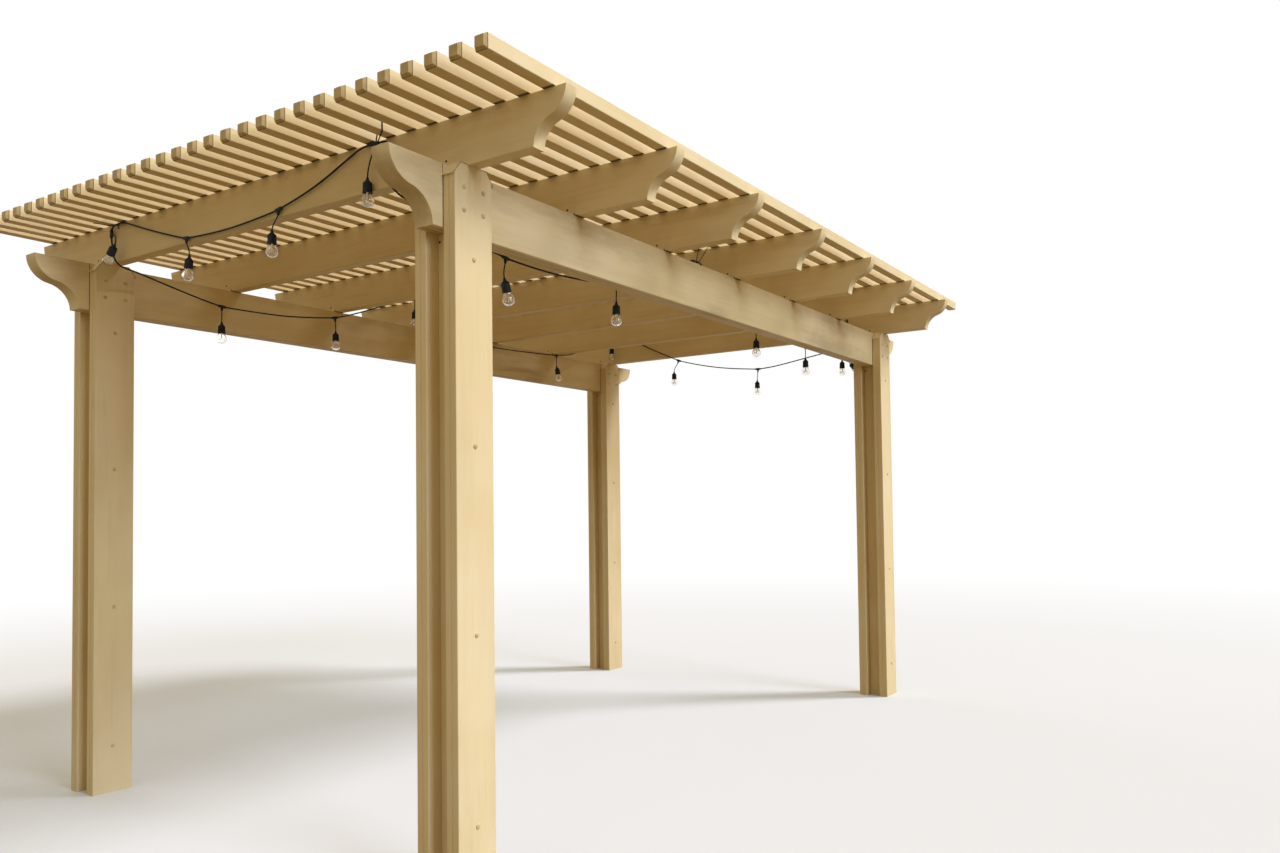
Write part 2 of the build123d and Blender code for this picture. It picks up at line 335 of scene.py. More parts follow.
def srgb(red, green, blue):
    """Linear values of a colour given in 0..255 as it looks on a screen."""
    levels = [channel / 255 for channel in (red, green, blue)]
    return tuple(c / 12.92 if c <= 0.04045 else ((c + 0.055) / 1.055) ** 2.4 for c in levels)


PAINT_LIGHT = srgb(225, 205, 163)
PAINT_DEEP = srgb(208, 183, 134)
PAINT_FADED = srgb(230, 213, 178)
GRIME = srgb(104, 82, 48)
STAIN = srgb(118, 88, 42)
# The dark colour of the painted shade along joints
JOINT_SHADE = srgb(62, 46, 24)
WEATHERED = srgb(170, 150, 116)

# Patterns of the paint: scale across the grain, scale along it, detail and roughness
GRAIN = (95.0, 2.2, 5.0, 0.6)
STREAKS = (14.0, 0.9, 4.0, 0.6)
DRIFTS = (5.5, 1.3, 7.0, 0.62)

# Stains run down the posts and lie in flat patches elsewhere: scales along x, y and z
STAIN_RUNS = (40.0, 40.0, 4.0)
STAIN_PATCHES = (6.0, 6.0, 16.0)

# Painted shade in joints: the solid shares of its line and its band, how squarely a face looks along the
# joint's axis, and the strength of the shade
LINE_SOLID_SHARE = 0.5
BAND_SOLID_SHARE = 0.98
LEAST_FACING = 0.6
JOINT_SHADE_STRENGTH = 0.85


def dirty_joints(tree, colour, coordinates, dark_joints):
    """Darkens a colour along joints, as painted shade in their gaps, grooves and seats.

    Each dark joint is a thin line and the band that it is seen in, both as an axis, places on it
    and half a width, and the axis that its faces look along.
    """
    if not dark_joints:
        return colour
    place_axes = axes_of(tree, coordinates["Object"])
    normal_axes = axes_of(tree, coordinates["Normal"])
    for (line_axis, line_places, line_half), (band_axis, band_places, band_half), facing in dark_joints:
        line_value = place_axes[AXES.index(line_axis)]
        band_value = place_axes[AXES.index(band_axis)]
        line = near_places(tree, line_value, line_places, line_half, LINE_SOLID_SHARE)
        band = near_places(tree, band_value, band_places, band_half, BAND_SOLID_SHARE)
        faced = math_node(tree, "ABSOLUTE", normal_axes[AXES.index(facing)])
        shade_mask = math_node(tree, "MULTIPLY", line, math_node(tree, "GREATER_THAN", faced, LEAST_FACING))
        shade_mask = math_node(tree, "MULTIPLY", shade_mask, math_node(tree, "MULTIPLY", band, JOINT_SHADE_STRENGTH))
        # Painted shade: the colour goes darker along each joint line
        colour = blend_colour(tree, shade_mask, colour, JOINT_SHADE)
    return colour


def painted_metal(name, along, stained_height=None, stain_strength=0.5, dark_joints=(), weathering=0.12,
                  figure=1.0):
    """Satin baked paint with a faint pressed grain along one axis, fading, dust, grime, and painted shade
    along its joints.

    Stains come in between the two heights given. The figure is the strength of grain and streaks.
    """
    material, tree = new_material(name)
    coordinates = add_node(tree, "ShaderNodeTexCoord").outputs
    place = coordinates["Object"]
    grain = grained_noise(tree, place, along, *GRAIN)
    streaks = grained_noise(tree, place, along, *STREAKS)
    drifts = grained_noise(tree, place, along, *DRIFTS)
    clouds = noise(tree, place, scale=2.3)
    specks = noise(tree, place, scale=210.0, detail=2.0, roughness=0.7)
    peel = noise(tree, place, scale=900.0, detail=2.0)

    # Layers from the lowest up: pattern, where it begins, where it is full, its strength and colour
    layers = [
        (clouds, 0.35, 0.68, 1.0, PAINT_FADED),
        (streaks, 0.45, 0.75, 0.38 * figure, PAINT_DEEP),
        (grain, 0.52, 0.70, 0.26 * figure, PAINT_DEEP),
        (specks, 0.70, 0.80, 0.40, GRIME),
        (drifts, 0.46, 0.70, weathering, WEATHERED),
    ]
    colour = PAINT_LIGHT
    for pattern, begins, full, strength, layer_colour in layers:
        colour = blend_colour(tree, ramp(tree, pattern, begins, full, 0.0, strength), colour, layer_colour)
    # Painted shade along the joints
    colour = dirty_joints(tree, colour, coordinates, dark_joints)
    if stained_height is not None:
        scales = STAIN_RUNS if along == "z" else STAIN_PATCHES
        patches = stretched_noise(tree, place, scales, detail=6.0, roughness=0.65)
        near_top = ramp(tree, axes_of(tree, place)[AXES.index("z")], *stained_height)
        stain = math_node(tree, "MULTIPLY", near_top, ramp(tree, patches, 0.48, 0.66, 0.0, stain_strength))
        colour = blend_colour(tree, stain, colour, STAIN)
    relief = math_node(tree, "ADD", grain, math_node(tree, "MULTIPLY", peel, 0.25))
    set_surface(tree, {
        "Base Color": colour,
        "Roughness": ramp(tree, math_node(tree, "ADD", grain, clouds), 0.6, 1.4, 0.50, 0.68),
        "Normal": bumps(tree, relief, strength=0.22, depth=0.0012),
        "Specular IOR Level": 0.12,
    })
    return material


def moulded_plastic(name, light, dark, roughness, gloss=0.5, dark_joints=()):
    """Matt moulded plastic or plain paint with faint flow marks, and painted shade along its joints."""
    material, tree = new_material(name)
    coordinates = add_node(tree, "ShaderNodeTexCoord").outputs
    flow = noise(tree, coordinates["Object"], scale=35.0, detail=4.0)
    pores = noise(tree, coordinates["Object"], scale=1400.0, detail=2.0)
    colour = blend_colour(tree, ramp(tree, flow, 0.35, 0.7), dark, light)
    # The base colour gets painted shade along the joints
    set_surface(tree, {
        "Base Color": dirty_joints(tree, colour, coordinates, dark_joints),
        "Roughness": ramp(tree, flow, 0.3, 0.7, roughness - 0.08, roughness + 0.08),
        "Normal": bumps(tree, pores, strength=0.15, depth=0.0006),
        "Specular IOR Level": gloss,
    })
    return material


def clear_glass(name):
    """Thin clear glass with slight waves."""
    material, tree = new_material(name)
    place = add_node(tree, "ShaderNodeTexCoord").outputs["Object"]
    waves = noise(tree, place, scale=120.0, detail=2.0)
    set_surface(tree, {
        "Base Color": (0.97, 0.96, 0.93, 1),
        "Roughness": ramp(tree, waves, 0.3, 0.7, 0.01, 0.05),
        "IOR": 1.47,
        "Transmission Weight": 1.0,
        "Normal": bumps(tree, waves, strength=0.35, depth=0.001),
    })
    return material


def bright_metal(name, light, dark, roughness):
    """Bare metal with uneven brightness."""
    material, tree = new_material(name)
    place = add_node(tree, "ShaderNodeTexCoord").outputs["Object"]
    mottle = noise(tree, place, scale=160.0, detail=3.0)
    set_surface(tree, {
        "Base Color": blend_colour(tree, mottle, dark, light),
        "Metallic": 1.0,
        "Roughness": ramp(tree, mottle, 0.3, 0.7, roughness - 0.08, roughness + 0.1),
    })
    return material


def middle_x(node_name):
    """The middle of a node along X."""
    low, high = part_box(node_name)
    return (low.x + high.x) / 2


# Places where members meet, from the frame, and the section of a slat
NEAR_POST_X = middle_x("near_left_post_core")
FAR_POST_X = middle_x("far_left_post_core")
PLANK_HALF_WIDTH = FAR_POST_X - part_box("far_left_post_outer_plank")[0].x
BEAM_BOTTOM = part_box("left_beam")[0].z
BEAM_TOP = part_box("left_beam")[1].z
BEAM_FACES = [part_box(side + "_beam")[end].y for side in ("right", "left") for end in (0, 1)]
BEAM_MIDDLES = [(BEAM_FACES[0] + BEAM_FACES[1]) / 2, (BEAM_FACES[2] + BEAM_FACES[3]) / 2]
BEAM_HALF_THICKNESS = (BEAM_FACES[1] - BEAM_FACES[0]) / 2
RAFTER_NAMES = ["rafter_" + str(number) for number in range(1, 8)]
RAFTER_SIDES = [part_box(rafter)[end].x for rafter in RAFTER_NAMES for end in (0, 1)]
SLAT_ENDS = [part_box("roof_slats")[end].x for end in (0, 1)]
SLAT_WIDTH = 0.046
SLAT_PITCH = 0.097

# Lines beside the posts' planks, and the two seams under each beam
BESIDE_PLANK = PLANK_HALF_WIDTH + 0.001
PLANK_SIDES = [x + turn * BESIDE_PLANK for x in (NEAR_POST_X, FAR_POST_X) for turn in (-1, 1)]
SEAM_OFFSET = 0.013
BEAM_SEAM_LINES = [y + turn * SEAM_OFFSET for y in BEAM_MIDDLES for turn in (-1, 1)]

# Bands that the dark joints are seen in
BEAM_HEIGHTS = ("z", [(BEAM_BOTTOM + BEAM_TOP) / 2], (BEAM_TOP - BEAM_BOTTOM) / 2)
BEAM_THICKNESSES = ("y", BEAM_MIDDLES, BEAM_HALF_THICKNESS)
SLAT_HEIGHTS = ("z", [SLAT_UNDERSIDE + SLAT_WIDTH / 2], 0.024)
ROUND_POST_TOPS = ("z", [BEAM_TOP], 0.3)
AT_BEAM_BOTTOM = ("z", [BEAM_BOTTOM], 0.002)
AT_BEAM_TOP = ("z", [BEAM_TOP], 0.002)
AT_SLAT_UNDERSIDE = ("z", [SLAT_UNDERSIDE], 0.003)
AT_CAP_UNDERSIDE = ("z", [SLAT_UNDERSIDE], 0.012)

# Dark joints, painted shade where it falls: the gaps beside the planks and under the rafters' feet, the
# seams' grooves under the beams, the slats' seats on the rafters, and the seams and edges of the caps
PLANK_BACK_EDGES = (("y", BEAM_FACES, 0.0030), BEAM_HEIGHTS, "x")
PLANK_CAP_EDGES = (ROUND_POST_TOPS, ROUND_POST_TOPS, "y")
BEAM_BESIDE_PLANKS = (("x", PLANK_SIDES, 0.0018), BEAM_HEIGHTS, "y")
BEAM_SEAMS = (("y", BEAM_SEAM_LINES, 0.0011), AT_BEAM_BOTTOM, "z")
RAFTER_FEET = (("z", [BEAM_TOP], 0.010), BEAM_THICKNESSES, "x")
RAFTER_UNDERSIDES = (("y", BEAM_FACES, 0.015), AT_BEAM_TOP, "z")
SLAT_SEATS = (("x", RAFTER_SIDES, 0.014), AT_SLAT_UNDERSIDE, "z")
SLAT_CAP_SEAMS = (("x", SLAT_ENDS, 0.0024), SLAT_HEIGHTS, "y")
SLAT_CAP_SEAMS_BELOW = (("x", SLAT_ENDS, 0.0024), AT_CAP_UNDERSIDE, "z")

post_paint = painted_metal(
    "post_paint", "z", stained_height=(2.02, 2.26), stain_strength=0.15,
    dark_joints=[PLANK_BACK_EDGES], figure=0.6,
)
beam_paint = painted_metal(
    "beam_paint", "x", stained_height=(2.20, 2.26), stain_strength=0.12,
    dark_joints=[BEAM_BESIDE_PLANKS, BEAM_SEAMS], weathering=0.55,
)
rafter_paint = painted_metal(
    "rafter_paint", "y", stained_height=(2.37, 2.42), stain_strength=0.42,
    dark_joints=[RAFTER_FEET, RAFTER_UNDERSIDES], weathering=0.20,
)
bracket_paint = painted_metal("bracket_paint", "z")
slat_paint = painted_metal("slat_paint", "x", dark_joints=[SLAT_SEATS])
# The caps' colours are darker than the paint's, as painted shade on their end faces
cap_plastic = moulded_plastic(
    "cap_plastic", srgb(198, 174, 126), srgb(182, 156, 108), roughness=0.55, gloss=0.2,
    dark_joints=[SLAT_CAP_SEAMS, SLAT_CAP_SEAMS_BELOW],
)
cap_paint = moulded_plastic(
    "cap_paint", srgb(232, 211, 170), srgb(216, 191, 146), roughness=0.5, dark_joints=[PLANK_CAP_EDGES],
)
# The plugs are darker than the paint, partly their own tone and partly painted shade round their rims
plug_paint = moulded_plastic("plug_paint", srgb(207, 182, 138), srgb(190, 163, 118), roughness=0.5)
black_rubber = moulded_plastic(
    "black_rubber", srgb(24, 21, 17), srgb(13, 11, 9), roughness=0.70, gloss=0.2,
)
black_plastic = moulded_plastic(
    "black_plastic", srgb(22, 20, 17), srgb(11, 10, 8), roughness=0.58, gloss=0.25,
)
black_nylon = moulded_plastic(
    "black_nylon", srgb(21, 19, 16), srgb(10, 9, 8), roughness=0.55, gloss=0.25,
)
glass = clear_glass("bulb_glass")
filament_metal = bright_metal("filament_metal", srgb(214, 190, 140), srgb(150, 124, 84), roughness=0.32)
screw_metal = bright_metal("screw_metal", srgb(196, 186, 166), srgb(140, 130, 112), roughness=0.4)
dark_metal = bright_metal("dark_metal", srgb(72, 62, 50), srgb(34, 28, 22), roughness=0.5)

# Materials of the CAD nodes, by the endings of their names. Those of rafters and posts are set below
NODE_MATERIALS = {
    "_cable": black_rubber,
    "_sockets": black_plastic,
    "_bulbs": glass,
    "_ties": black_nylon,
    "_caps": cap_plastic,
    "_beam": beam_paint,
    "_slats": slat_paint,
}
for name, node in nodes.items():
    material = rafter_paint if name.startswith("rafter") else post_paint
    for ending, special in NODE_MATERIALS.items():
        if name.endswith(ending):
            material = special
    if not node.material_slots:
        node.data.materials.append(material)
    for material_slot in node.material_slots:
        material_slot.material = material


# Mesh helpers for the pieces made here
SMOOTH_UP_TO = radians(38)
SMALLEST_RADIUS = 1e-6


def add_piece(name, mesh_builder, material, replaced=()):
    """Builds one mesh, shades it smooth up to its hard edges, and hangs it on the frame."""
    builder = bmesh.new()
    mesh_builder(builder)
    bmesh.ops.recalc_face_normals(builder, faces=builder.faces)
    mesh = bpy.data.meshes.new(name)
    builder.to_mesh(mesh)
    builder.free()
    mesh.shade_smooth()
    mesh.set_sharp_from_angle(angle=SMOOTH_UP_TO)
    mesh.materials.append(material)
    piece = bpy.data.objects.new(name, mesh)
    scene.collection.objects.link(piece)
    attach(piece, "root")
    if replaced:
        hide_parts(*replaced)
    return piece


def across(direction):
    """Two unit vectors square to a direction and to each other."""
    helper = Vector((0, 0, 1)) if abs(direction.z) < 0.9 else Vector((1, 0, 0))
    first = direction.cross(helper).normalized()
    return first, direction.cross(first)


def add_circle(builder, centre, first, second, radius, sides):
    """A ring of vertices in the plane of two square directions."""
    angles = [2 * pi * step / sides for step in range(sides)]
    return [builder.verts.new(centre + (first * cos(a) + second * sin(a)) * radius) for a in angles]


def join_rings(builder, rings):
    """Skins neighbouring rings, and closes a ring that meets a single vertex as a fan."""
    for near, far in zip(rings, rings[1:]):
        count = max(len(near), len(far))
        for step in range(count):
            following = (step + 1) % count
            corners = [near[step % len(near)], near[following % len(near)]]
            corners += [far[following % len(far)], far[step % len(far)]]
            unique = list(dict.fromkeys(corners))
            if len(unique) > 2:
                builder.faces.new(unique)


def add_turned(builder, origin, direction, profile, sides=24):
    """A turned body: profile points are (distance along the axis, radius)."""
    first, second = across(direction)
    rings = []
    for along, radius in profile:
        centre = origin + direction * along
        if radius < SMALLEST_RADIUS:
            rings.append([builder.verts.new(centre)])
        else:
            rings.append(add_circle(builder, centre, first, second, radius, sides))
    join_rings(builder, rings)


def add_tube(builder, points, radius, sides=10):
    """A tube with closed ends along points."""
    directions = []
    for index in range(len(points)):
        before = points[max(0, index - 1)]
        after = points[min(len(points) - 1, index + 1)]
        directions.append((after - before).normalized())
    first, _ = across(directions[0])
    rings = []
    for point, direction in zip(points, directions):
        first = (first - direction * first.dot(direction)).normalized()
        rings.append(add_circle(builder, point, first, direction.cross(first), radius, sides))
    join_rings(builder, rings)
    builder.faces.new(rings[0])
    builder.faces.new(rings[-1])


def add_prism(builder, outline, shift):
    """A closed solid from a flat outline moved by a vector."""
    low = [builder.verts.new(point) for point in outline]
    high = [builder.verts.new(point + shift) for point in outline]
    join_rings(builder, [low, high])
    builder.faces.new(low)
    builder.faces.new(high)


def bezier(start, first, second, end, steps):
    """Points on a cubic curve."""
    points = []
    for step in range(steps + 1):
        t = step / steps
        u = 1 - t
        points.append(start * u**3 + first * 3 * u * u * t + second * 3 * u * t * t + end * t**3)
    return points


def spline_points(piece):
    """Points along the middle of a cable's own spline, in order."""
    bare = piece.data.copy()
    bare.bevel_depth = 0
    holder = bpy.data.objects.new("bare_line", bare)
    mesh = bpy.data.meshes.new_from_object(holder)
    points = [vertex.co.copy() for vertex in mesh.vertices]
    bpy.data.objects.remove(holder)
    return points


def nearest_on_line(points, target):
    """The point of a line that is nearest to a target, and the line's direction there."""
    best = None
    for start, end in zip(points, points[1:]):
        run = end - start
        share = min(1, max(0, (target - start).dot(run) / run.length_squared))
        place = start + run * share
        if best is None or (place - target).length < best[0]:
            best = ((place - target).length, place, run.normalized())
    return best[1], best[2]


# Lamps: where the lead leaves the cable, the top of the socket, and the way it points
LEFT_LAMPS = [
    ((-1.880, -0.722, 0.010), (-1.890, -0.702, 0.127), (0, 0, -1)),
    ((-1.880, -0.210, 0.142), (-1.880, -0.172, 0.214), (0, 0, -1)),
    ((-1.880, 0.374, 0.152), (-1.880, 0.352, 0.227), (0, 0.15, -1)),
    ((-1.8826, 0.9259, 0.044), (-1.912, 0.844, 0.110), (0, 0.66, -0.75)),
    ((-1.376, 0.915, 0.273), (-1.378, 0.915, 0.350), (0, 0, -1)),
    ((-0.734, 0.915, 0.224), (-0.729, 0.915, 0.296), (0, 0, -1)),
    ((-0.180, 0.915, 0.017), (-0.180, 0.915, 0.091), (0, 0, -1)),
    ((0.406, 0.915, 0.223), (0.406, 0.915, 0.298), (0, 0, -1)),
    ((1.096, 0.915, 0.192), (1.097, 0.915, 0.270), (0.28, 0, -1)),
    ((1.722, 0.916, 0.021), (1.752, 0.926, 0.047), (0, 0, -1)),
]
RIGHT_LAMPS = [
    ((-1.461, -0.930, 0.341), (-1.470, -0.932, 0.418), (0.28, 0, -0.96)),
    ((-0.791, -0.938, 0.316), (-0.791, -0.938, 0.389), (0, 0, -1)),
    ((-0.172, -0.938, 0.087), (-0.172, -0.938, 0.161), (0, 0, -1)),
    ((0.467, -0.937, 0.287), (0.466, -0.937, 0.363), (0, 0, -1)),
    ((1.083, -0.934, 0.317), (1.083, -0.934, 0.391), (0, 0, -1)),
    ((1.640, -0.938, 0.263), (1.752, -0.939, 0.345), (0.97, 0, -0.24)),
    ((1.775, -0.833, 0.241), (1.775, -0.872, 0.313), (0, 0, -1)),
    ((1.775, -0.269, 0.314), (1.775, -0.262, 0.391), (0, 0, -1)),
    ((1.775, 0.359, 0.197), (1.775, 0.398, 0.276), (0, 0, -1)),
]

# Profiles as (distance from the top of the socket, radius)
SOCKET_PROFILE = [
    (-0.004, 0), (-0.004, 0.0036), (0.000, 0.0044), (0.004, 0.0058), (0.0065, 0.0062), (0.0085, 0.0078),
    (0.0150, 0.0146), (0.0165, 0.0153), (0.0185, 0.0156), (0.0430, 0.0164), (0.0440, 0.0170),
    (0.0495, 0.0172), (0.0505, 0.0166), (0.0505, 0.0140), (0.0440, 0.0136), (0.0440, 0),
]
GLASS_OUTER = [
    (0.0450, 0.0128), (0.0530, 0.0140), (0.0590, 0.0164), (0.0650, 0.0200), (0.0710, 0.0220),
    (0.0770, 0.0225), (0.0830, 0.0217), (0.0885, 0.0192), (0.0930, 0.0150), (0.0960, 0.0098),
    (0.0976, 0.0045), (0.0980, 0),
]
STEM_PROFILE = [(0.045, 0), (0.045, 0.006), (0.054, 0.0036), (0.064, 0.0022), (0.072, 0.0016), (0.072, 0)]
GLASS_THICKNESS = 0.0009
GLASS_CROWN_START = 0.09
GLASS_SIDES = 28
STEM_SIDES = 12

# Profiles of the moulded joint, as (distance along the cable, radius), and of its branch
JOINT_PROFILE = [
    (-0.0215, 0), (-0.0215, 0.0036), (-0.0205, 0.0048), (-0.0150, 0.0056), (-0.0140, 0.0066),
    (-0.0080, 0.0070), (0.0080, 0.0070), (0.0140, 0.0066), (0.0150, 0.0056), (0.0205, 0.0048),
    (0.0215, 0.0036), (0.0215, 0),
]
BRANCH_PROFILE = [
    (0, 0), (0.000, 0.0066), (0.009, 0.0064), (0.014, 0.0052), (0.020, 0.0046), (0.022, 0.0026), (0.022, 0),
]
JOINT_SIDES = 16
BRANCH_SIDES = 14

# The share of the way that the branch turns from the lead's own line to square to the cable
BRANCH_TURN = 0.6

# The lead: where it starts in the branch and ends in the socket, and how long the handles of its
# curve are, as shares of its reach
LEAD_RADIUS = 0.0025
LEAD_START = 0.012
LEAD_END = 0.004
LEAD_SHARE_AT_JOINT = 0.3
LEAD_SHARE_AT_SOCKET = 0.42
LEAD_STEPS = 9

# The filament goes up and down round the stem: each turning point's height along the axis and radius
FILAMENT_LOW = (0.070, 0.0110)
FILAMENT_HIGH = (0.083, 0.0140)
FILAMENT_POINTS = 12
FILAMENT_ROUND = 0.92
FILAMENT_RADIUS = 0.0007
FILAMENT_SIDES = 5

# Two wires lead from the stem to the filament's ends, and thin hooks hold four of its high points
WIRE_START = 0.050
WIRE_BEND = 0.066
WIRE_BEND_SHARE = 0.3
WIRE_RADIUS = 0.0004
HOOK_START = 0.070
HOOKED_POINTS = (2, 4, 6, 8)
HOOK_RADIUS = 0.0003
HOOK_SIDES = 4


def add_lamp_body(builder, line, joint, top, aim):
    """A moulded joint on the cable, its lead, and the socket."""
    place, along = nearest_on_line(line, below_slats(joint))
    top = below_slats(top)
    aim = Vector(aim).normalized()
    add_turned(builder, place, along, JOINT_PROFILE, JOINT_SIDES)
    reach = (top - place).length
    way = (top - place).normalized()
    branch = (way - along * BRANCH_TURN * way.dot(along)).normalized()
    add_turned(builder, place, branch, BRANCH_PROFILE, BRANCH_SIDES)
    start = place + branch * LEAD_START
    end = top + aim * LEAD_END
    after_start = start + branch * reach * LEAD_SHARE_AT_JOINT
    before_end = end - aim * reach * LEAD_SHARE_AT_SOCKET
    add_tube(builder, bezier(start, after_start, before_end, end, LEAD_STEPS), LEAD_RADIUS)
    add_turned(builder, top, aim, SOCKET_PROFILE)


def add_bulb_glass(builder, top, aim):
    """A thin clear shell, with an inner and an outer skin."""
    inner = []
    for along, radius in GLASS_OUTER:
        depth = GLASS_THICKNESS if along > GLASS_CROWN_START else 0
        inner.append((along - depth, max(0, radius - GLASS_THICKNESS)))
    shell = GLASS_OUTER + inner[::-1] + GLASS_OUTER[:1]
    add_turned(builder, below_slats(top), Vector(aim).normalized(), shell, GLASS_SIDES)


def add_bulb_inside(builder, top, aim):
    """A glass stem, its wires and hooks, and a filament that zigzags round it."""
    top = below_slats(top)
    aim = Vector(aim).normalized()
    first, second = across(aim)
    add_turned(builder, top, aim, STEM_PROFILE, STEM_SIDES)
    turns = []
    for step in range(FILAMENT_POINTS):
        angle = 2 * pi * step / FILAMENT_POINTS * FILAMENT_ROUND
        height, spread = FILAMENT_LOW if step % 2 else FILAMENT_HIGH
        outward = first * cos(angle) + second * sin(angle)
        turns.append(top + aim * height + outward * spread)
    zigzag = []
    for start, end in zip(turns, turns[1:]):
        zigzag += [start, (start + end) / 2]
    add_tube(builder, zigzag + turns[-1:], FILAMENT_RADIUS, FILAMENT_SIDES)
    for end in (turns[0], turns[-1]):
        bend = top + aim * WIRE_BEND + (end - top).project(first) * WIRE_BEND_SHARE
        add_tube(builder, [top + aim * WIRE_START, bend, end], WIRE_RADIUS, FILAMENT_SIDES)
    for step in HOOKED_POINTS:
        add_tube(builder, [top + aim * HOOK_START, turns[step]], HOOK_RADIUS, HOOK_SIDES)


# Ties: the point of the cable that each one holds, and the side that its lock is on
LEFT_TIE_HEADS = [
    ((-1.880, -0.736, 0.0106), 1),
    ((-1.880, 0.893, 0.008), -1),
    ((-0.106, 0.915, 0.011), -1),
    ((1.715, 0.916, 0.0207), -1),
]
RIGHT_TIE_HEADS = [
    ((-0.125, -0.938, 0.080), 1),
    ((1.7472, -0.921, 0.0126), 1),
]
TIE_HEAD_ASIDE = 0.0075
TIE_HEAD_BELOW = 0.001
TIE_HEAD_HALF = Vector((0.0035, 0.0020, 0.0028))
TIE_TAIL_HALF = Vector((0.0020, 0.0006, 0))
TIE_TAIL_ALONG = 0.003
TIE_TAIL_ASIDE = 0.010
TIE_TAIL_DROP = 0.022


def level_rectangle(middle, half):
    """The corners of a level rectangle round its middle, at its own height less half a height."""
    signs = [(-1, -1), (1, -1), (1, 1), (-1, 1)]
    return [middle + Vector((half.x * a, half.y * b, -half.z)) for a, b in signs]


def add_tie_head(builder, held, side):
    """The small square lock of a tie, beside the cable, with its cut tail."""
    middle = below_slats(held) + Vector((0, side * TIE_HEAD_ASIDE, -TIE_HEAD_BELOW))
    tail = Vector((TIE_TAIL_ALONG, side * TIE_TAIL_ASIDE, -TIE_TAIL_DROP))
    add_prism(builder, level_rectangle(middle, TIE_HEAD_HALF), Vector((0, 0, 2 * TIE_HEAD_HALF.z)))
    add_prism(builder, level_rectangle(middle, TIE_TAIL_HALF), tail)


def add_string(name, route, lamps, tie_heads):
    """One lamp string: its cable, the lamps along it and the locks of its ties."""
    cable_piece = smooth_cable(name + "_cord", route, black_rubber)
    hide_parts(name + "_cable")
    line = spline_points(cable_piece)

    def bodies(builder):
        for joint, top, aim in lamps:
            add_lamp_body(builder, line, joint, top, aim)

    def bulbs(builder):
        for _, top, aim in lamps:
            add_bulb_glass(builder, top, aim)

    def insides(builder):
        for _, top, aim in lamps:
            add_bulb_inside(builder, top, aim)

    def locks(builder):
        for held, side in tie_heads:
            add_tie_head(builder, held, side)

    add_piece(name + "_lamp_bodies", bodies, black_plastic, [name + "_sockets"])
    add_piece(name + "_glass", bulbs, glass, [name + "_bulbs"])
    add_piece(name + "_filaments", insides, filament_metal)
    add_piece(name + "_tie_heads", locks, black_nylon)


add_string("left_string", LEFT_ROUTE, LEFT_LAMPS, LEFT_TIE_HEADS)
add_string("right_string", RIGHT_ROUTE, RIGHT_LAMPS, RIGHT_TIE_HEADS)


# Fasteners, as profiles of (distance out from the face, radius)
PLUG_PROFILE = [
    (-0.001, 0), (-0.001, 0.0080), (0.0014, 0.0080), (0.0024, 0.0073), (0.0033, 0.0054), (0.0038, 0.0026),
    (0.0039, 0),
]
SCREW_PROFILE = [
    (-0.0005, 0), (-0.0005, 0.0042), (0.0006, 0.0042), (0.0013, 0.0034), (0.0016, 0.0020), (0.0012, 0.0014),
    (0.0012, 0),
]
PLUG_SIDES = 20
SCREW_SIDES = 10

# The posts: name and middle along X
POSTS = [
    ("near_right_post", NEAR_POST_X),
    ("near_left_post", NEAR_POST_X),
    ("far_right_post", FAR_POST_X),
    ("far_left_post", FAR_POST_X),
]
POST_PLUG_HEIGHTS = (0.195, 0.783, 1.371, 1.959)
BEAM_PLUG_HEIGHTS = (2.108, 2.181)
BEAM_PLUG_SPREAD = 0.043


def add_post_plugs(builder):
    """Low domed plugs over the screws, on both broad faces of each post."""
    for post, x in POSTS:
        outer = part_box(post + "_outer_plank")
        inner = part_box(post + "_inner_plank")
        low_y = min(outer[0].y, inner[0].y)
        high_y = max(outer[1].y, inner[1].y)
        for y, direction in ((low_y, Vector((0, -1, 0))), (high_y, Vector((0, 1, 0)))):
            places = [Vector((x, y, z)) for z in POST_PLUG_HEIGHTS]
            for z in BEAM_PLUG_HEIGHTS:
                places += [Vector((x + shift, y, z)) for shift in (-BEAM_PLUG_SPREAD, BEAM_PLUG_SPREAD)]
            for place in places:
                add_turned(builder, place, direction, PLUG_PROFILE, PLUG_SIDES)


# Screws stand a little off their line, by the sine of steps that don't repeat
SLAT_SCREW_WANDER = 0.004
SLAT_WANDER_STEP = 2.7
RAFTER_WANDER_STEP = 5.1


def add_slat_screws(builder):
    """One pan-head screw in the top of each slat over each rafter."""
    low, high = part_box("roof_slats")
    count = round((high.y - low.y - SLAT_WIDTH) / SLAT_PITCH) + 1
    for rafter_number, rafter in enumerate(RAFTER_NAMES, 1):
        x = middle_x(rafter)
        for slat_number in range(count):
            angle = slat_number * SLAT_WANDER_STEP + rafter_number * RAFTER_WANDER_STEP
            wander = SLAT_SCREW_WANDER * sin(angle)
            y = low.y + SLAT_WIDTH / 2 + slat_number * SLAT_PITCH + wander / 2
            head = Vector((x + wander, y, high.z))
            add_turned(builder, head, Vector((0, 0, 1)), SCREW_PROFILE, SCREW_SIDES)


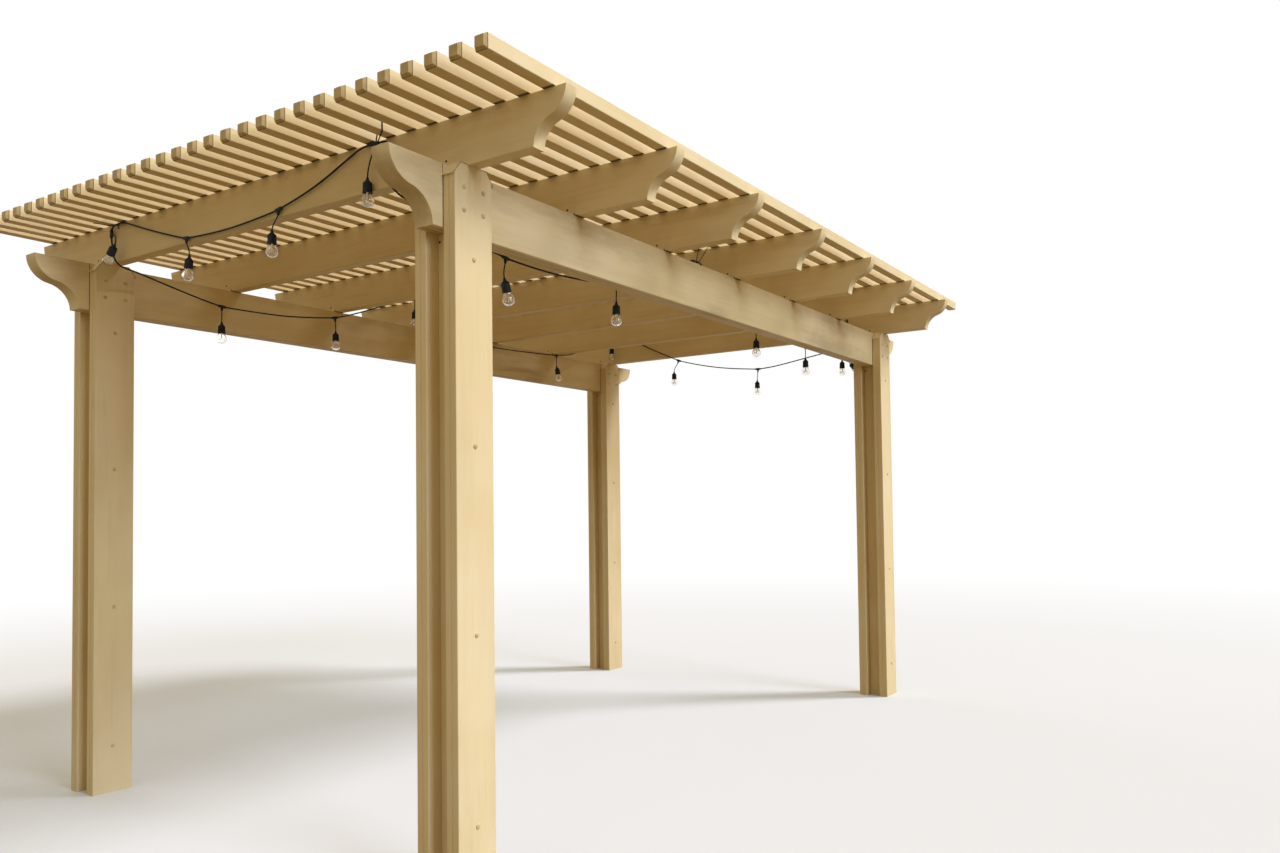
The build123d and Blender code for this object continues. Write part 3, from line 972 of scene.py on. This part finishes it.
CORE_SCREW_SPREAD = 0.030
CORE_SCREW_DROP = 0.024
BRACKET_HALF_WIDTH = 0.0295
BRACKET_HEIGHT = 0.043
BRACKET_SHEET = 0.002
BRACKET_CORNER = 0.004
BRACKET_SCREW_HEIGHT = 0.027
BRACKET_SCREW_WANDER = 0.003
BRACKET_WANDER_STEP = 3.7
BRACKET_OUTLINE = [
    (-BRACKET_HALF_WIDTH, 0),
    (BRACKET_HALF_WIDTH, 0),
    (BRACKET_HALF_WIDTH, BRACKET_HEIGHT - BRACKET_CORNER),
    (BRACKET_HALF_WIDTH - BRACKET_CORNER, BRACKET_HEIGHT),
    (BRACKET_CORNER - BRACKET_HALF_WIDTH, BRACKET_HEIGHT),
    (-BRACKET_HALF_WIDTH, BRACKET_HEIGHT - BRACKET_CORNER),
]


def bracket_places():
    """Each bracket: its rafter's number, x, y and z of its foot, and which way it looks along X."""
    for number, rafter in enumerate(RAFTER_NAMES, 1):
        low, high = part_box(rafter)
        for middle in BEAM_MIDDLES:
            for x, turn in ((low.x, -1), (high.x, 1)):
                yield number, x, middle, low.z, turn


def add_brackets(builder):
    """A thin plate up each side of each rafter's foot, from the top of each beam."""
    for _, x, y, z, turn in bracket_places():
        placed = [Vector((x, y + along_rafter, z + up)) for along_rafter, up in BRACKET_OUTLINE]
        add_prism(builder, placed, Vector((turn * BRACKET_SHEET, 0, 0)))


def add_dark_screws(builder):
    """Small dark screws: two in each narrow face of each core, and one in each bracket."""
    for post, _ in POSTS:
        low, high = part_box(post + "_core")
        middle = (low.y + high.y) / 2
        for x, turn in ((low.x, -1), (high.x, 1)):
            for shift in (-CORE_SCREW_SPREAD, CORE_SCREW_SPREAD):
                head = Vector((x, middle + shift, high.z - CORE_SCREW_DROP))
                add_turned(builder, head, Vector((turn, 0, 0)), SCREW_PROFILE, SCREW_SIDES)
    for number, x, y, z, turn in bracket_places():
        wander = BRACKET_SCREW_WANDER * sin(number * BRACKET_WANDER_STEP + y + turn)
        head = Vector((x + turn * BRACKET_SHEET, y + wander, z + BRACKET_SCREW_HEIGHT + wander))
        add_turned(builder, head, Vector((turn, 0, 0)), SCREW_PROFILE, SCREW_SIDES)


# Caps on the planks: a sheet folded over each clipped corner, from beside the rafter to a small lip
CAP_SHEET = 0.0016
CAP_LIP = 0.008
CAP_EAVE = 0.0012
CAP_FOLD = 1.55
CAP_START = 0.0254 + 0.0005
CLIP_ALONG = 0.025
CLIP_DOWN = 0.034
CAP_SLOPE = Vector((CLIP_ALONG, 0, -CLIP_DOWN)).normalized()
CAP_OUTWARD = Vector((CLIP_DOWN, 0, CLIP_ALONG)).normalized()
CAP_LIFT = Vector((0, 0, CAP_SHEET))

# The near right cap is torn at its far foot: how far along the lip, and how far the sheet hangs
TORN_EDGE = [
    (0.000, 0.0), (0.008, 0.005), (0.014, 0.002), (0.022, 0.008), (0.028, 0.003), (0.036, 0.005),
    (0.041, 0.001), (0.047, 0.006), (0.051, 0.0),
]
TORN_CAP = ("near_right_post", "outer", 1)


def add_torn_lip(builder, foot):
    """A ragged strip of sheet that hangs on from the foot of a cap."""
    outline = [foot + Vector((0, along, 0)) + CAP_SLOPE * hang for along, hang in TORN_EDGE]
    add_prism(builder, outline, CAP_OUTWARD * CAP_SHEET)


def add_plank_caps(builder):
    """A thin folded sheet over each clipped corner of each plank, with a small lip at its foot."""
    for post, x in POSTS:
        for layer in ("outer", "inner"):
            low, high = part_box(post + "_" + layer + "_plank")
            beam_at_low_y = (layer == "outer") == ("left" in post)
            y_start = low.y if beam_at_low_y else low.y - CAP_EAVE
            y_end = high.y + CAP_EAVE if beam_at_low_y else high.y
            tip = (high.x - low.x) / 2
            ridge = Vector((tip - CLIP_ALONG, 0, high.z))
            foot = Vector((tip, 0, high.z - CLIP_DOWN)) + CAP_SLOPE * CAP_LIP
            start = Vector((CAP_START, 0, high.z))
            fold = ridge + (CAP_LIFT + CAP_OUTWARD * CAP_SHEET) / CAP_FOLD
            outline = [start, ridge, foot, foot + CAP_OUTWARD * CAP_SHEET, fold, start + CAP_LIFT]
            for turn in (-1, 1):
                placed = [Vector((x + turn * p.x, y_start, p.z)) for p in outline]
                add_prism(builder, placed, Vector((0, y_end - y_start, 0)))
                if (post, layer, turn) == TORN_CAP:
                    add_torn_lip(builder, Vector((x + foot.x, y_start, foot.z)))


add_piece("post_screw_plugs", add_post_plugs, plug_paint)
add_piece("slat_screws", add_slat_screws, screw_metal)
add_piece("rafter_brackets", add_brackets, bracket_paint)
add_piece("dark_screws", add_dark_screws, dark_metal)
add_piece("plank_top_caps", add_plank_caps, cap_paint)


# Floor, world and lights
WHITE = (1, 1, 1, 1)
FLOOR_REACH = 60.0
FLOOR_SEEN = (0.76, 0.78, 0.86)
FLOOR_THROWN_UP = (0.23, 0.16, 0.07)
FLOOR_FADE_START = 4.0
FLOOR_FADE_END = 13.0
AMBIENT = (1, 0.87, 0.56, 1)
AMBIENT_STRENGTH = 0.53

# Lights: name, the way that each shines, strength, width in degrees and colour
SUNS = [
    ("key", (-0.45, 0.60, -0.66), 2.30, 16, (1.0, 0.99, 1.0)),
    ("open_side", (0.10, 0.915, -0.39), 1.35, 26, (0.74, 0.86, 1.0)),
    ("near_end", (0.9, 0.1, -0.25), 0.12, 60, (1.0, 0.94, 0.84)),
    ("back", (-0.20, -0.90, -0.40), 0.50, 50, (1.0, 0.97, 0.93)),
]


def seen_rays(tree, rays):
    """1 for the rays of the camera, of reflections and through glass, and 0 for all others."""
    seen = math_node(tree, "MAXIMUM", rays["Is Camera Ray"], rays["Is Glossy Ray"])
    return math_node(tree, "MAXIMUM", seen, rays["Is Transmission Ray"])


def add_floor():
    """A pale floor that fades to the white background away from the object, and keeps its shadow.

    The light that it throws up on the object is dimmer and warmer, as from stone paving.
    """
    mesh = bpy.data.meshes.new("floor")
    signs = [(-1, -1), (1, -1), (1, 1), (-1, 1)]
    mesh.from_pydata([(FLOOR_REACH * a, FLOOR_REACH * b, 0) for a, b in signs], [], [(0, 1, 2, 3)])
    floor = bpy.data.objects.new("floor", mesh)
    scene.collection.objects.link(floor)
    material, tree = new_material("floor")
    place = add_node(tree, "ShaderNodeTexCoord").outputs["Object"]
    distance = add_node(tree, "ShaderNodeVectorMath", {"operation": "LENGTH"}, {0: place}).outputs["Value"]
    rays = add_node(tree, "ShaderNodeLightPath").outputs
    pale = blend_colour(tree, rays["Is Diffuse Ray"], FLOOR_SEEN, FLOOR_THROWN_UP)
    matt = add_node(tree, "ShaderNodeBsdfDiffuse", None, {"Color": pale}).outputs[0]
    white = add_node(tree, "ShaderNodeEmission", None, {"Color": WHITE, "Strength": 1.0}).outputs[0]
    fade = ramp(tree, distance, FLOOR_FADE_START, FLOOR_FADE_END)
    far = math_node(tree, "MULTIPLY", seen_rays(tree, rays), fade)
    mixed = add_node(tree, "ShaderNodeMixShader", None, {0: far, 1: matt, 2: white}).outputs[0]
    add_node(tree, "ShaderNodeOutputMaterial", None, {0: mixed})
    mesh.materials.append(material)


def add_world():
    """An even warm light, seen as white by the camera, by reflections and through glass."""
    world = bpy.data.worlds.new("studio")
    scene.world = world
    world.use_nodes = True
    tree = world.node_tree
    tree.nodes.clear()
    seen = seen_rays(tree, add_node(tree, "ShaderNodeLightPath").outputs)
    soft_inputs = {"Color": AMBIENT, "Strength": AMBIENT_STRENGTH}
    soft = add_node(tree, "ShaderNodeBackground", None, soft_inputs).outputs[0]
    white = add_node(tree, "ShaderNodeBackground", None, {"Color": WHITE, "Strength": 1.0}).outputs[0]
    mixed = add_node(tree, "ShaderNodeMixShader", None, {0: seen, 1: soft, 2: white}).outputs[0]
    add_node(tree, "ShaderNodeOutputWorld", None, {0: mixed})


def add_sun(name, aim, strength, softness, colour):
    """A distant soft light that shines along a direction."""
    data = bpy.data.lights.new(name, "SUN")
    data.energy = strength
    data.angle = radians(softness)
    data.color = colour
    light = bpy.data.objects.new(name, data)
    light.rotation_euler = Vector(aim).to_track_quat("-Z", "Y").to_euler()
    scene.collection.objects.link(light)


scene.view_settings.view_transform = "Standard"
add_floor()
add_world()
for sun in SUNS:
    add_sun(*sun)
